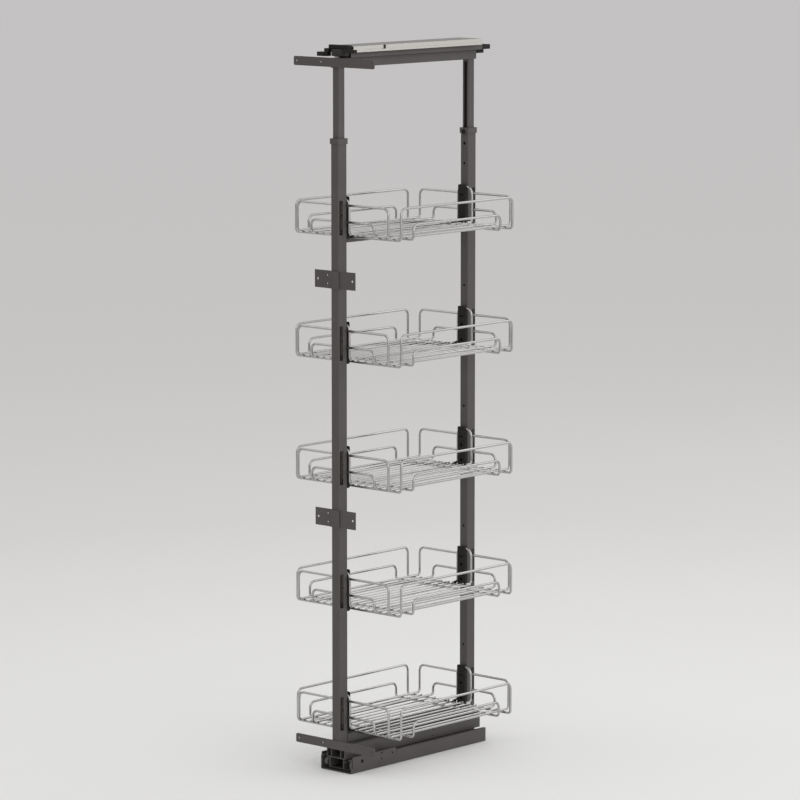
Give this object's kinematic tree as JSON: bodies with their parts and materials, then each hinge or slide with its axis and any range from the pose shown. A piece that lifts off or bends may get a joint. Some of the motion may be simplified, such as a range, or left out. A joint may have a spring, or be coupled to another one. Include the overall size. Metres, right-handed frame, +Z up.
{
  "type": "pull out larder unit",
  "caption": "Tall pull-out larder frame with wire baskets, a telescopic floor runner, an adjustable upper frame and a guided top rail for a kitchen cabinet.",
  "frame": {"origin": "under the middle of the whole unit, on the cabinet floor", "axes": "+Z up, -Y towards the cabinet door, +X to the right as seen from the door"},
  "size_m": [0.351, 0.542, 1.775],
  "materials": {
    "steel_grey": "satin",
    "chrome_wire": "polished",
    "rail_aluminium": "satin anodised",
    "axle_steel": "black zinc plated",
    "black_plastic": "matte",
    "roller_plastic": "smooth",
    "guide_plastic": "smooth"
  },
  "bodies": {
    "runner": {"runner_channel": "steel_grey", "front_roller_axles": "axle_steel", "runner_rear_buffer": "black_plastic", "runner_side_plates": "steel_grey"},
    "front_roller_pair": {"front_rollers": "roller_plastic"},
    "middle": {"middle_member": "steel_grey", "middle_axles": "axle_steel"},
    "middle_front_roller_pair": {"middle_front_rollers": "roller_plastic"},
    "middle_rear_roller_pair": {"middle_rear_rollers": "roller_plastic"},
    "frame": {"carriage": "steel_grey", "carriage_axles": "axle_steel", "carriage_end_plug": "black_plastic", "bottom_tube": "steel_grey", "front_post": "steel_grey", "back_post": "steel_grey", "cross_brace": "steel_grey", "bottom_door_bar": "steel_grey", "upper_door_plate": "steel_grey", "lower_door_plate": "steel_grey", "front_collar": "steel_grey", "back_collar": "steel_grey", "collar_clamp_screws": "black_plastic", "front_holders": "black_plastic", "back_holders": "black_plastic", "holder_screws": "axle_steel"},
    "carriage_roller_pair": {"carriage_rollers": "roller_plastic"},
    "upper_frame": {"front_tube": "steel_grey", "back_tube": "steel_grey", "top_beam": "steel_grey", "guide_profile": "steel_grey", "top_door_bar": "steel_grey", "guide_tail_plug": "black_plastic", "rear_buffer": "black_plastic"},
    "cabinet_rail": {"top_rail": "rail_aluminium", "rail_front_cap": "black_plastic", "rail_side_stop": "black_plastic", "guide_roller_pin": "axle_steel"},
    "top_roller": {"guide_roller": "guide_plastic"},
    "basket_1": {"basket_1_floor": "chrome_wire", "basket_1_side_rails": "chrome_wire", "basket_1_end_rails": "chrome_wire"},
    "basket_2": {"basket_2_floor": "chrome_wire", "basket_2_side_rails": "chrome_wire", "basket_2_end_rails": "chrome_wire"},
    "basket_3": {"basket_3_floor": "chrome_wire", "basket_3_side_rails": "chrome_wire", "basket_3_end_rails": "chrome_wire"},
    "basket_4": {"basket_4_floor": "chrome_wire", "basket_4_side_rails": "chrome_wire", "basket_4_end_rails": "chrome_wire"},
    "basket_5": {"basket_5_floor": "chrome_wire", "basket_5_side_rails": "chrome_wire", "basket_5_end_rails": "chrome_wire"}
  },
  "joints": [
    {"name": "frame_slide", "type": "slide", "parent": "runner", "child": "frame", "axis": [0, -1, 0], "range_m": [0, 0.46]},
    {"name": "middle_slide", "type": "slide", "parent": "runner", "child": "middle", "axis": [0, -1, 0], "range_m": [0, 0.23]},
    {"name": "front_roller_turn", "type": "hinge", "parent": "runner", "child": "front_roller_pair", "pos_m": [0, -0.249, 0.0186], "axis": [1, 0, 0], "range_deg": [0, 1318.3]},
    {"name": "middle_front_roller_turn", "type": "hinge", "parent": "middle", "child": "middle_front_roller_pair", "pos_m": [0, -0.239, 0.0168], "axis": [1, 0, 0], "range_deg": [0, 1464.7]},
    {"name": "middle_rear_roller_turn", "type": "hinge", "parent": "middle", "child": "middle_rear_roller_pair", "pos_m": [0, 0.205, 0.0153], "axis": [1, 0, 0], "range_deg": [0, 1022.1]},
    {"name": "carriage_roller_turn", "type": "hinge", "parent": "frame", "child": "carriage_roller_pair", "pos_m": [0, 0.206, 0.0166], "axis": [1, 0, 0], "range_deg": [0, 1432.9]},
    {"name": "height_slide", "type": "slide", "parent": "frame", "child": "upper_frame", "axis": [0, 0, 1], "range_m": [-0.075, 0.06]},
    {"name": "rail_slide", "type": "slide", "parent": "upper_frame", "child": "cabinet_rail", "axis": [0, -1, 0], "range_m": [-0.46, 0]},
    {"name": "top_roller_spin", "type": "hinge", "parent": "cabinet_rail", "child": "top_roller", "pos_m": [0, -0.244, 1.757], "axis": [0, 0, 1], "continuous": true},
    {"name": "basket_1_lift", "type": "slide", "parent": "frame", "child": "basket_1", "axis": [0, 0, 1], "range_m": [0, 0.03]},
    {"name": "basket_2_lift", "type": "slide", "parent": "frame", "child": "basket_2", "axis": [0, 0, 1], "range_m": [0, 0.03]},
    {"name": "basket_3_lift", "type": "slide", "parent": "frame", "child": "basket_3", "axis": [0, 0, 1], "range_m": [0, 0.03]},
    {"name": "basket_4_lift", "type": "slide", "parent": "frame", "child": "basket_4", "axis": [0, 0, 1], "range_m": [0, 0.03]},
    {"name": "basket_5_lift", "type": "slide", "parent": "frame", "child": "basket_5", "axis": [0, 0, 1], "range_m": [0, 0.03]}
  ],
  "couplings": [
    {"joint": "middle_slide", "follows": "frame_slide", "ratio": 0.5},
    {"joint": "front_roller_turn", "follows": "frame_slide", "rad_per_m": 50},
    {"joint": "middle_front_roller_turn", "follows": "frame_slide", "rad_per_m": 55.556},
    {"joint": "middle_rear_roller_turn", "follows": "frame_slide", "rad_per_m": 38.76},
    {"joint": "carriage_roller_turn", "follows": "frame_slide", "rad_per_m": 54.348},
    {"joint": "rail_slide", "follows": "frame_slide", "ratio": -1}
  ]
}
